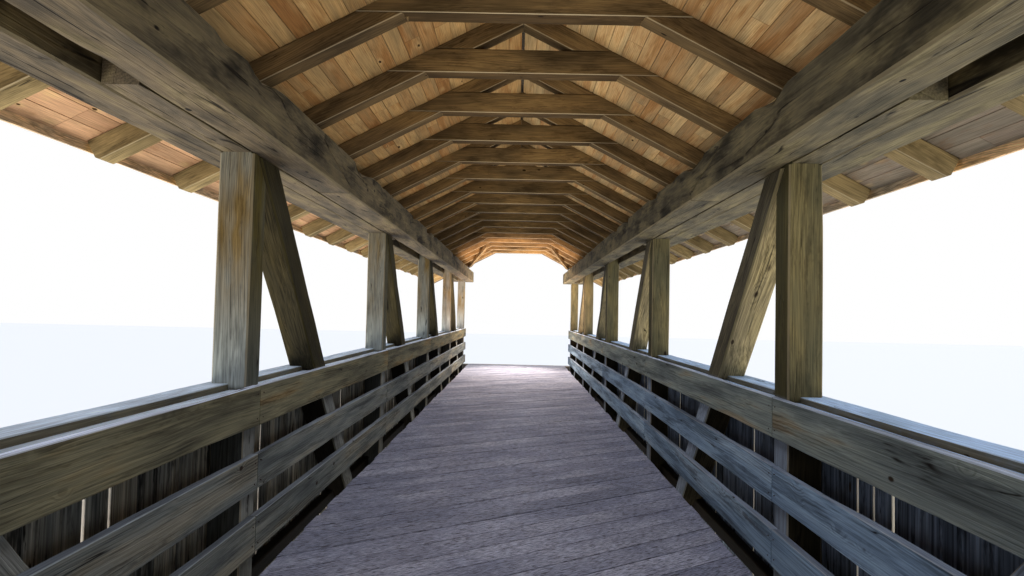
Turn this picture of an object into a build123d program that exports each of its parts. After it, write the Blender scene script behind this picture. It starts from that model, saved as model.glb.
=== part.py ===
from build123d import *
import math
import os

# Covered timber footbridge on two trusses, with a raftered roof over the walkway.
# Millimetres, +Z up, Y along the walkway, X across it.
# The origin is on the ground, under the middle of the bridge.

# Bays and frames along the bridge
bay_length = 3800
bay_count = 10
frames_per_bay = 4
timber_gap = 4            # open joint between timbers that butt end to end
chord_end_overrun = 250   # how far the chords run past the end posts

# Walkway deck
deck_half_width = 1405
deck_thickness = 60
deck_end_gap = 12         # between the deck and the abutment's back wall
stringer_width = 140
stringer_depth = 200
stringer_count = 5
stringer_edge_inset = 150
floor_beam_width = 200
floor_beam_depth = 340
floor_beam_cog = 25       # how far a floor beam is let down over the bottom chord

# Trusses
post_inner_x = 1510
post_width = 200
post_depth = 200
post_clear_height = 2350  # deck to the underside of the top chord
post_tenon_width = 160
brace_width = 200
brace_depth = 220
brace_angle = 48.2        # degrees from level
brace_head_lap = 92       # how far a brace's lower edge starts inside its post's back face
middle_brace_gap = 173    # the two braces at the middle post start this far from its faces
brace_heel_depth = 60     # how far the brace's foot is notched into the bottom chord
shoulder_gap = 45         # open joint between a brace's lower edge and the post's cut head
bottom_chord_width = 260
bottom_chord_upper_depth = 240
bottom_chord_lower_depth = 260
inner_beam_depth = 290
inner_beam_width = 244
outer_beam_depth = 262
outer_beam_width = 240
block_length_short = 520
block_length_start = 2580 # from mid-span to the start of the long packing pieces
inner_scarf_places = (-3.6, -1.22, 1.22, 3.6)  # in bays from mid-span
outer_scarf_places = (-2.4, 0.42, 2.4)
scarf_length = 700
scarf_nib = 60            # height of the blunt nose at each end of a scarf

# Parapet
rail_thickness = 50
rail_top_low, rail_top_high = 798, 1030
rail_middle_low, rail_middle_high = 433, 643
rail_low_low, rail_low_high = 78, 289
cap_thickness = 45
cap_top_height = 1045
cap_inner_x = 1540
cap_outer_x = 1752
cladding_thickness = 25
cladding_drip = 40        # how far the boards hang below the bottom chord
girt_width = 80
girt_depth = 100
girt_low_height = -160

# Roof
rafter_thickness = 140
rafter_depth = 132
roof_pitch = 27.4         # degrees
collar_rise = 840         # from the top chord's underside to the collars' underside
collar_corner_x = 693     # where the collar's underside meets the rafter's
collar_depth = 175
eave_x = 2500
tail_inset = 10           # from the eave to the upper corner of a rafter's tail
tail_chamfer = 22         # on the lower corner of a rafter's tail
roof_board_thickness = 24
shingle_thickness = 45
shingle_eave_overrun = 35
verge_overrun = 350       # roof past the end frames' centres
ridge_board_width = 170
ridge_board_thickness = 26
barge_thickness = 28
barge_depth = 190
eave_strip_thickness = 22
eave_strip_depth = 70
wind_brace_width = 100
wind_brace_depth = 70
wind_brace_frames = 3
wind_brace_start = 80     # from the collar's corner down the rafter, measured across

# Supports
abutment_seat_height = 1600
abutment_side_margin = 340  # abutment past the posts, at each side
abutment_seat_reach = 650   # from the end post's centre to the front of the seat
abutment_batter = 220
back_wall_thickness = 300
back_wall_gap = 20        # between the chord ends and the back wall
sleeper_width = 220
sleeper_depth = 160
sleeper_end_inset = 20    # from the posts' outer faces to the sleepers' ends
sleeper_inset = 110       # from the end post's centre, either way

parts_folder = "parts"

# Heights and places that follow from the sizes above
half_length = bay_length * bay_count / 2
frame_spacing = bay_length / frames_per_bay
frame_count = bay_count * frames_per_bay + 1
chord_bottom = abutment_seat_height + sleeper_depth
bottom_chord_depth = bottom_chord_upper_depth + bottom_chord_lower_depth
chord_top = chord_bottom + bottom_chord_depth
floor_beam_top = chord_top + floor_beam_depth - floor_beam_cog
stringer_top = floor_beam_top + stringer_depth
deck_top = stringer_top + deck_thickness
head_height = deck_top + post_clear_height
post_outer_x = post_inner_x + post_width
truss_x = post_inner_x + post_width / 2
chord_half = half_length + chord_end_overrun
inner_beam_top = head_height + inner_beam_depth
outer_beam_top = head_height + outer_beam_depth
outer_beam_inner_x = truss_x + post_tenon_width / 2
outer_beam_outer_x = outer_beam_inner_x + outer_beam_width
inner_beam_outer_x = truss_x - post_tenon_width / 2
inner_beam_inner_x = inner_beam_outer_x - inner_beam_width
bottom_chord_inner_x = post_outer_x - bottom_chord_width
cap_top = deck_top + cap_top_height
cap_bottom = cap_top - cap_thickness
slope = math.tan(math.radians(roof_pitch))
slope_cos = math.cos(math.radians(roof_pitch))
slope_sin = math.sin(math.radians(roof_pitch))
rafter_rise = rafter_depth / slope_cos
board_rise = roof_board_thickness / slope_cos
shingle_rise = shingle_thickness / slope_cos
collar_bottom = head_height + collar_rise
roof_half = half_length + verge_overrun
brace_tan = math.tan(math.radians(brace_angle))
brace_half_run = brace_depth / 2 / math.sin(math.radians(brace_angle))
back_wall_face = chord_half + back_wall_gap
abutment_half_width = post_outer_x + abutment_side_margin
sleeper_half_length = post_outer_x - sleeper_end_inset


def block(x_range, y_range, z_range):
    """A timber or slab between two X, two Y and two Z values."""
    x0, x1 = sorted(x_range)
    y0, y1 = sorted(y_range)
    z0, z1 = sorted(z_range)
    centre = ((x0 + x1) / 2, (y0 + y1) / 2, (z0 + z1) / 2)
    return Pos(*centre) * Box(x1 - x0, y1 - y0, z1 - z0)


def along_x(outline, x_range):
    """A solid with an outline of (y, z) points, from one X to another."""
    x0, x1 = sorted(x_range)
    face = make_face(Plane.YZ * Polyline(*outline, close=True))
    return Pos(x0, 0, 0) * extrude(face, amount=x1 - x0, dir=(1, 0, 0))


def along_y(outline, y_range):
    """A solid with an outline of (x, z) points, from one Y to another."""
    y0, y1 = sorted(y_range)
    face = make_face(Plane.XZ * Polyline(*outline, close=True))
    return Pos(0, y0, 0) * extrude(face, amount=y1 - y0, dir=(0, 1, 0))


def other_side(solid):
    """The same piece on the other side of the walkway."""
    return mirror(solid, about=Plane.YZ)


def far_half(solid):
    """The same piece in the other half of the bridge."""
    return mirror(solid, about=Plane.XZ)


def save(node, pieces):
    solids = [solid for piece in pieces for solid in piece.solids()]
    export_step(Compound(children=solids), os.path.join(parts_folder, node + ".step"))


def save_sides(name, pieces):
    """Pieces given for the +X side are the right ones; the left ones mirror them."""
    save(name + "_right", pieces)
    save(name + "_left", [other_side(piece) for piece in pieces])


def post_places():
    return [(index - bay_count // 2) * bay_length for index in range(bay_count + 1)]


def frame_places():
    return [(index - frame_count // 2) * frame_spacing for index in range(frame_count)]


def rafter_underside(x):
    return collar_bottom + (collar_corner_x - x) * slope


def rafter_top(x):
    return rafter_underside(x) + rafter_rise


# Trusses

def brace_start(post_y):
    """Y where a brace's lower edge meets the top chord, in the half with positive Y."""
    back = post_y + post_depth / 2
    if post_y == 0:
        return back + middle_brace_gap
    return back - brace_head_lap


def brace_axis(post_y, z):
    """Y of a brace's axis at height z."""
    return brace_start(post_y) + brace_half_run + (head_height - z) / brace_tan


def brace(post_y):
    """One brace, from under the top chord down to its notch in the bottom chord."""
    foot = chord_top - brace_heel_depth
    toe_y = brace_axis(post_y, foot) + brace_half_run
    outline = [
        (brace_axis(post_y, head_height) - brace_half_run, head_height),
        (brace_axis(post_y, head_height) + brace_half_run, head_height),
        (brace_axis(post_y, chord_top) + brace_half_run, chord_top),
        (toe_y, foot),
        (brace_axis(post_y, chord_top) - brace_half_run, chord_top),
    ]
    return along_x(outline, (post_inner_x, post_outer_x))


def brace_places():
    return [y for y in post_places() if 0 <= y < half_length]


def all_braces():
    near = [brace(y) for y in brace_places()]
    return near + [far_half(piece) for piece in near]


def shoulder_cut(post_y):
    """The wedge taken off the back of a post's head, beside the brace that leaves it."""
    back = post_y + post_depth / 2
    start = brace_start(post_y) - shoulder_gap
    outline = [
        (start, head_height),
        (back, head_height),
        (back, head_height - (back - start) * brace_tan),
    ]
    return along_x(outline, (post_inner_x, post_outer_x))


def post(post_y):
    """A post with a tenon up between the twin beams and a stub foot on the chord."""
    front, back = post_y - post_depth / 2, post_y + post_depth / 2
    shaft = block((post_inner_x, post_outer_x), (front, back), (chord_top, head_height))
    tenon_x = (inner_beam_outer_x, outer_beam_inner_x)
    tenon = block(tenon_x, (front, back), (head_height, outer_beam_top))
    if post_y > 0:
        if post_y < half_length:
            shaft = shaft - shoulder_cut(post_y)
    elif post_y < 0:
        if post_y > -half_length:
            shaft = shaft - far_half(shoulder_cut(-post_y))
    return shaft + tenon


def bottom_chord():
    """Two stacked timbers, notched on top for the feet of the braces."""
    x_range = (bottom_chord_inner_x, post_outer_x)
    split = chord_bottom + bottom_chord_lower_depth
    upper = block(x_range, (-chord_half, chord_half), (split, chord_top))
    for piece in all_braces():
        upper = upper - piece
    lower = block(x_range, (-chord_half, chord_half), (chord_bottom, split))
    return upper + lower


def scarfed_beam(x_range, beam_top, places):
    """A top chord beam in lengths that lap over each other at the given places."""
    ends = [-chord_half] + [place * bay_length for place in places] + [chord_half]
    pieces = []
    for start, end in zip(ends[:-1], ends[1:]):
        outline = []
        if start == -chord_half:
            outline += [(start, head_height), (start, beam_top)]
        else:
            outline += [
                (start + scarf_length / 2, head_height),
                (start + scarf_length / 2, head_height + scarf_nib),
                (start - scarf_length / 2 + timber_gap, beam_top - scarf_nib),
                (start - scarf_length / 2 + timber_gap, beam_top),
            ]
        if end == chord_half:
            outline += [(end, beam_top), (end, head_height)]
        else:
            outline += [
                (end - scarf_length / 2, beam_top),
                (end - scarf_length / 2, beam_top - scarf_nib - timber_gap),
                (end + scarf_length / 2 - timber_gap, head_height + scarf_nib - timber_gap),
                (end + scarf_length / 2 - timber_gap, head_height),
            ]
        pieces.append(along_x(outline, x_range))
    return pieces


def chord_blocks():
    """Packing between the twin beams: long over the first full bay, short at each post."""
    x_range = (inner_beam_outer_x, outer_beam_inner_x)
    z_range = (head_height, outer_beam_top)
    half_post = post_depth / 2
    blocks = []
    long_spans = [
        (block_length_start, bay_length - half_post),
        (bay_length + half_post, 2 * bay_length - half_post),
    ]
    for span in long_spans:
        blocks.append(block(x_range, span, z_range))
    for number in range(2, bay_count // 2):
        start = number * bay_length + half_post
        blocks.append(block(x_range, (start, start + block_length_short), z_range))
    end_start = half_length - half_post - block_length_short
    blocks.append(block(x_range, (end_start, half_length - half_post), z_range))
    mirrored = [far_half(piece) for piece in blocks]
    middle = block(x_range, (half_post, half_post + block_length_short), z_range)
    return blocks + mirrored + [middle, far_half(middle)]


# Floor

def floor_beams():
    """A pair of cross beams at each post, cogged down over the bottom chords."""
    pieces = []
    z_range = (chord_top - floor_beam_cog, floor_beam_top)
    for y in post_places():
        for side in (-1, 1):
            near = y + side * post_depth / 2
            far = near + side * floor_beam_width
            if abs(far) > chord_half:
                continue
            beam = block((-post_outer_x, post_outer_x), (near, far), z_range)
            seat_z = (chord_top - floor_beam_cog, chord_top)
            seat = block((bottom_chord_inner_x, post_outer_x), (near, far), seat_z)
            pieces.append(beam - seat - other_side(seat))
    return pieces


def stringers():
    reach = deck_half_width - stringer_edge_inset
    step = 2 * reach / (stringer_count - 1)
    pieces = []
    for index in range(stringer_count):
        x = -reach + index * step
        x_range = (x - stringer_width / 2, x + stringer_width / 2)
        for bay in range(0, bay_count, 2):
            start = -half_length + bay * bay_length
            end = start + 2 * bay_length
            if bay == 0:
                start = -chord_half
            if bay == bay_count - 2:
                end = chord_half
            y_range = (start + timber_gap / 2, end - timber_gap / 2)
            pieces.append(block(x_range, y_range, (floor_beam_top, stringer_top)))
    return pieces


def deck():
    reach = back_wall_face - deck_end_gap
    return block((-deck_half_width, deck_half_width), (-reach, reach), (stringer_top, deck_top))


# Parapet

def bays():
    """The start and end of each bay, less the open joint at each post's centre."""
    places = post_places()
    return [(a + timber_gap / 2, b - timber_gap / 2) for a, b in zip(places[:-1], places[1:])]


def rail(low, high):
    x_range = (post_inner_x - rail_thickness, post_inner_x)
    z_range = (deck_top + low, deck_top + high)
    spans = bays()
    spans[0] = (spans[0][0] - post_depth / 2, spans[0][1])
    spans[-1] = (spans[-1][0], spans[-1][1] + post_depth / 2)
    return [block(x_range, span, z_range) for span in spans]


def truss_members():
    return all_braces() + [post(y) for y in post_places()]


def cut_near(piece, span, members):
    """Cut a piece round the posts and braces that pass through its bay."""
    for member in members:
        box = member.bounding_box()
        if box.max.Y > span[0] and box.min.Y < span[1]:
            piece = piece - member
    return piece


def bays_to_chord_ends():
    """The same bays, with the outermost ones run on to the ends of the chords."""
    spans = bays()
    spans[0] = (-chord_half, spans[0][1])
    spans[-1] = (spans[-1][0], chord_half)
    return spans


def parapet_cap(members):
    pieces = []
    for span in bays_to_chord_ends():
        board = block((cap_inner_x, cap_outer_x), span, (cap_bottom, cap_top))
        pieces.append(cut_near(board, span, members))
    return pieces


def girts(members):
    """Level timbers between posts and braces, which carry the cladding and the cap."""
    pieces = []
    for span in bays_to_chord_ends():
        for top in (cap_bottom, deck_top + girt_low_height):
            z_range = (top - girt_depth, top)
            timber = block((post_outer_x - girt_width, post_outer_x), span, z_range)
            pieces.append(cut_near(timber, span, members))
    return pieces


def cladding():
    x_range = (post_outer_x, post_outer_x + cladding_thickness)
    z_range = (chord_bottom - cladding_drip, cap_bottom)
    return [block(x_range, span, z_range) for span in bays_to_chord_ends()]


# Roof

def rafter_outline():
    """Right-hand rafter: plumb cut at the ridge, seat on the outer beam, square-cut tail."""
    seat_x = collar_corner_x + (collar_bottom - outer_beam_top) / slope
    tail_x = eave_x - tail_inset
    tail_top = rafter_top(tail_x)
    end_depth = rafter_depth - tail_chamfer
    corner_x = tail_x - rafter_depth * slope_sin - tail_chamfer * slope_cos
    return [
        (0, rafter_underside(0)),
        (seat_x, rafter_underside(seat_x)),
        (outer_beam_outer_x, outer_beam_top),
        (outer_beam_outer_x, rafter_underside(outer_beam_outer_x)),
        (corner_x, rafter_underside(corner_x)),
        (tail_x - end_depth * slope_sin, tail_top - end_depth * slope_cos),
        (tail_x, tail_top),
        (0, rafter_top(0)),
    ]


def collar_outline():
    top_corner = collar_corner_x + (rafter_rise - collar_depth) / slope
    bottom_corner = collar_corner_x + rafter_rise / slope
    low, high = collar_bottom, collar_bottom + collar_depth
    return [(-bottom_corner, low), (bottom_corner, low), (top_corner, high), (-top_corner, high)]


def roof_frame(y):
    """A pair of rafters and the collar that is halved into both of them."""
    near, middle, far = y - rafter_thickness / 2, y, y + rafter_thickness / 2
    right = along_y(rafter_outline(), (near, far))
    collar = along_y(collar_outline(), (near, far))
    rafter_bite = along_y(rafter_outline(), (middle, far))
    collar_bite = along_y(collar_outline(), (near, middle))
    right = right - collar_bite
    collar = collar - rafter_bite - other_side(rafter_bite)
    return right, collar


def roof_layer(low_rise, rise, reach_x, half):
    """One slope of a roof layer that lies low_rise above the rafters' tops."""
    outline = [
        (0, rafter_top(0) + low_rise),
        (reach_x, rafter_top(reach_x) + low_rise),
        (reach_x, rafter_top(reach_x) + low_rise + rise),
        (0, rafter_top(0) + low_rise + rise),
    ]
    return along_y(outline, (-half, half))


def ridge_boards():
    low_rise = board_rise + shingle_rise
    rise = ridge_board_thickness / slope_cos
    reach = ridge_board_width * slope_cos
    right = roof_layer(low_rise, rise, reach, roof_half)
    return [right + other_side(right)]


def barge_boards():
    """Boards on the cut ends of the roof, at both gables."""
    top_rise = board_rise + shingle_rise
    low_rise = top_rise - barge_depth / slope_cos
    outline = [
        (0, rafter_top(0) + low_rise),
        (eave_x, rafter_top(eave_x) + low_rise),
        (eave_x, rafter_top(eave_x) + top_rise),
        (0, rafter_top(0) + top_rise),
    ]
    right = along_y(outline, (roof_half, roof_half + barge_thickness))
    gable = right + other_side(right)
    return [gable, far_half(gable)]


def eave_strip():
    top = rafter_top(eave_x + eave_strip_thickness) + board_rise
    z_range = (top - eave_strip_depth, top)
    return block((eave_x, eave_x + eave_strip_thickness), (-roof_half, roof_half), z_range)


def wind_brace():
    """A brace under the rafters, from a collar's corner down to the top of the chord."""
    start_y = half_length - wind_brace_frames * frame_spacing
    start_x = collar_corner_x + wind_brace_start
    end_x = (inner_beam_inner_x + inner_beam_outer_x) / 2
    end_y = half_length
    start = Vector(start_x, start_y, rafter_underside(start_x))
    end = Vector(end_x, end_y, rafter_underside(end_x))
    length = (end - start).length
    roof_normal = Vector(slope, 0, 1).normalized()
    lie = Plane(origin=(start + end) / 2, x_dir=end - start, z_dir=roof_normal)
    bar = Box(length, wind_brace_width, wind_brace_depth, align=(Align.CENTER, Align.CENTER, Align.MAX))
    return lie * bar


# Supports

def abutment():
    """Battered block with a seat for the bearings and a back wall up to the deck."""
    seat_start = half_length - abutment_seat_reach
    end = back_wall_face + back_wall_thickness
    outline = [
        (seat_start - abutment_batter, 0),
        (end, 0),
        (end, deck_top),
        (back_wall_face, deck_top),
        (back_wall_face, abutment_seat_height),
        (seat_start, abutment_seat_height),
    ]
    return along_x(outline, (-abutment_half_width, abutment_half_width))


def bearing_sleepers():
    z_range = (abutment_seat_height, chord_bottom)
    pieces = []
    for side in (-1, 1):
        near = half_length + side * sleeper_inset - sleeper_width / 2
        y_range = (near + side * timber_gap, near + side * timber_gap + sleeper_width)
        pieces.append(block((-sleeper_half_length, sleeper_half_length), y_range, z_range))
    return pieces + [far_half(piece) for piece in pieces]


os.makedirs(parts_folder, exist_ok=True)
members = truss_members()
frames = [roof_frame(y) for y in frame_places()]

far_abutment = abutment()
save("far_abutment", [far_abutment])
save("near_abutment", [far_half(far_abutment)])
save("bearing_sleepers", bearing_sleepers())
save_sides("bottom_chord", [bottom_chord()])
save("floor_beams", floor_beams())
save("stringers", stringers())
save("deck", [deck()])
save_sides("posts", [post(y) for y in post_places()])
save_sides("braces", all_braces())
inner_x = (inner_beam_inner_x, inner_beam_outer_x)
outer_x = (outer_beam_inner_x, outer_beam_outer_x)
save_sides("top_chord_inner", scarfed_beam(inner_x, inner_beam_top, inner_scarf_places))
save_sides("top_chord_outer", scarfed_beam(outer_x, outer_beam_top, outer_scarf_places))
save_sides("chord_blocks", chord_blocks())
save_sides("top_rail", rail(rail_top_low, rail_top_high))
save_sides("middle_rail", rail(rail_middle_low, rail_middle_high))
save_sides("low_rail", rail(rail_low_low, rail_low_high))
save_sides("parapet_cap", parapet_cap(members))
save_sides("girts", girts(members))
save_sides("cladding", cladding())
save_sides("rafters", [right for right, collar in frames])
save("collar_ties", [collar for right, collar in frames])
wind = wind_brace()
wind_pair = [wind, other_side(wind)]
save("wind_braces", wind_pair + [far_half(piece) for piece in wind_pair])
save_sides("roof_boards", [roof_layer(0, board_rise, eave_x, roof_half)])
shingle_reach = eave_x + shingle_eave_overrun
save_sides("roof_shingles", [roof_layer(board_rise, shingle_rise, shingle_reach, roof_half)])
save("ridge_boards", ridge_boards())
save("barge_boards", barge_boards())
save_sides("eave_strip", [eave_strip()])
print("deck top", deck_top, "roof top", rafter_top(0) + board_rise + shingle_rise)
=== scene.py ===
import math
import random
from functools import partial

import bmesh
import bpy
from mathutils import Matrix, Vector, noise


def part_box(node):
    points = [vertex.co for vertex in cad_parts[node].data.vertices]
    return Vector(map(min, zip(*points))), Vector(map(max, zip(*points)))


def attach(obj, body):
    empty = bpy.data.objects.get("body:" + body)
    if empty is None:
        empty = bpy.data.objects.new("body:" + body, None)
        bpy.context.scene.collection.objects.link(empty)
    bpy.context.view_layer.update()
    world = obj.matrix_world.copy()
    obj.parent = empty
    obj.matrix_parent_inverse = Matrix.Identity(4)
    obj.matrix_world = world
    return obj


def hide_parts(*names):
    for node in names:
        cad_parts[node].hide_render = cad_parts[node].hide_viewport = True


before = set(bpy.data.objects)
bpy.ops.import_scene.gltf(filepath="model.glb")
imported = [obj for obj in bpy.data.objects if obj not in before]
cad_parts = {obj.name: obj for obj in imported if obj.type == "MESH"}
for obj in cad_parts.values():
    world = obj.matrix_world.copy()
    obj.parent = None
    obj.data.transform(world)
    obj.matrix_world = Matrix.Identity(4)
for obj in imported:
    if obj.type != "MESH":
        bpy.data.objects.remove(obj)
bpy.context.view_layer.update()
print("frame loaded,", len(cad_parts), "nodes")

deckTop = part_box("deck")[1].z
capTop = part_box("parapet_cap_left")[1].z
axisX, axisY, axisZ = Vector((1, 0, 0)), Vector((0, 1, 0)), Vector((0, 0, 1))
samePlace = 1e-4     # m: points that lie closer together count as one place


def linkObject(name, data):
    item = bpy.data.objects.new(name, data)
    bpy.context.scene.collection.objects.link(item)
    return item


# camera: held over the walkway, near the middle of the bridge
cameraSettings = {
    "aside": 0.001,        # m from the middle of the walkway
    "along": -0.0565,      # m from mid-span
    "overDeck": 1.4696,    # m
    "turn": 0.521,         # degrees to the left
    "tilt": 2.206,         # degrees upwards
    "roll": 1.283,         # degrees
    "lens": 23.57,         # mm
    "sensor": 36,          # mm wide
    "sees": (0.02, 400),   # m
}


def placeCamera(s):
    turn, tilt, roll = (math.radians(s[key]) for key in ("turn", "tilt", "roll"))
    ahead = Vector((-math.sin(turn) * math.cos(tilt), math.cos(turn) * math.cos(tilt), math.sin(tilt)))
    level = Vector((math.cos(turn), math.sin(turn), 0))
    upright = level.cross(ahead)
    across = level * math.cos(roll) + upright * math.sin(roll)
    upward = upright * math.cos(roll) - level * math.sin(roll)
    data = bpy.data.cameras.new("walkwayCamera")
    data.sensor_width = s["sensor"]
    data.lens = s["lens"]
    data.clip_start, data.clip_end = s["sees"]
    camera = linkObject("walkwayCamera", data)
    turned = Matrix((across, upward, -ahead)).transposed().to_4x4()
    camera.matrix_world = Matrix.Translation((s["aside"], s["along"], deckTop + s["overDeck"])) @ turned
    bpy.context.scene.camera = camera


placeCamera(cameraSettings)
print("camera placed")


# small helpers for colours and nodes
def hexColour(text):
    parts = [int(text[i:i + 2], 16) / 255 for i in (0, 2, 4)]
    linear = [p / 12.92 if p <= 0.04045 else ((p + 0.055) / 1.055) ** 2.4 for p in parts]
    return (*linear, 1.0)


def addNode(tree, kind, inputs=None, **settings):
    # an input is a number, a colour, a socket, or a node whose first output feeds it
    node = tree.nodes.new("ShaderNode" + kind)
    for name, value in settings.items():
        setattr(node, name, value)
    for name, value in (inputs or {}).items():
        if isinstance(value, bpy.types.Node):
            value = value.outputs[0]
        if isinstance(value, bpy.types.NodeSocket):
            tree.links.new(value, node.inputs[name])
        else:
            node.inputs[name].default_value = value
    return node


def repeats(sizes):
    # how often a pattern of so many mm comes in a metre
    return [1000 / size for size in sizes]


def startMaterial(name):
    material = bpy.data.materials.new(name)
    material.use_nodes = True
    material.node_tree.nodes.clear()
    return material, partial(addNode, material.node_tree)


# Sawn and hewn timber. Rings, streaks, knots and drying cracks all follow each timber's own length,
# through its grain coordinate in metres: x along the fibres, y and z across them.
timberBasics = {
    "pale": "8a7a5c",         # spring wood
    "dark": "5a4c36",         # summer wood
    "grey": "6e6c66",         # weathered skin
    "greyShare": 0.4,
    "ringMm": 11,             # real rings are 2 to 4 mm, drawn coarser so that they show
    "ringDepth": 0.6,
    "streakMm": 7,            # raised fibres, also drawn coarser than the real ones
    "streakRunMm": 333.3,     # their length along the fibres
    "streakDepth": 0.6,
    "blotchDepth": 0.35,
    "blotchMm": (769.2, 200, 200),    # along and across the fibres
    "toneSpread": 0.3,        # brightness from one timber to the next
    "warmth": 0.0,            # how far a timber's tone turns it towards "warm"
    "warm": "9a6a3c",
    "knotShare": 0.16,        # share of the cells that hold a knot
    "knotSize": 0.16,         # in cells
    "knotCellMm": (222.2, 111.1, 111.1),
    "knot": "2c2216",
    "halo": "b08a5e",         # paler wood round a knot
    "haloShare": 0.0,
    "crackMm": 70,            # drying cracks lie about this far apart
    "crackWidth": 0.010,
    "crackShare": 0.5,
    "crack": "17130d",
    "arris": "a89878",        # edges: worn, and in part a painted highlight
    "arrisShare": 0.35,
    "seam": "17130d",         # faces in a joint, dark with shade or lit by the day outside
    "bendMm": 26,             # how far the fibres wander, and over which length and width they do
    "bendCellMm": (909.1, 250, 250),
    "reliefMm": 2.2,
    "sideWeatherAndLight": "3a3424",        # colour of the faces that look one way: weathering, painted shade on inward faces and painted light on the tops of rails
    "sideWeatherAndLightShare": 0.0,
    "soil": "1d1a13",         # dark patches along the fibres
    "soilShare": 0.25,
    "soilElsewhere": 0.25,    # the same off the stained faces
    "soilFrom": 0.50,         # noise level at which a patch begins, and where it is full
    "soilTo": 0.68,
    "soilMm": (322.6, 76.92, 76.92),
    "rust": "7c5630",         # patches of redder wood
    "rustShare": 0.0,
    "low": None,              # greyer towards this height, m, and not above the next one
    "high": None,
    "capHeight": None,        # below it a timber stands behind the rails, m
    "railGrey": "8c8d84",     # grey on the side towards the walkway there, and painted shade, nearly black, on the others
    "hidden": "1e1a14",
    "tailFrom": None,         # farther from the middle than this the timber is weathered pale, m
    "tailRun": 0.25,          # m over which it changes
    "tail": "a38f64",
    "roughness": 0.82,
    "ior": 1.48,
    "sheen": 0.12,            # open dry fibres give back little gloss
}


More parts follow.
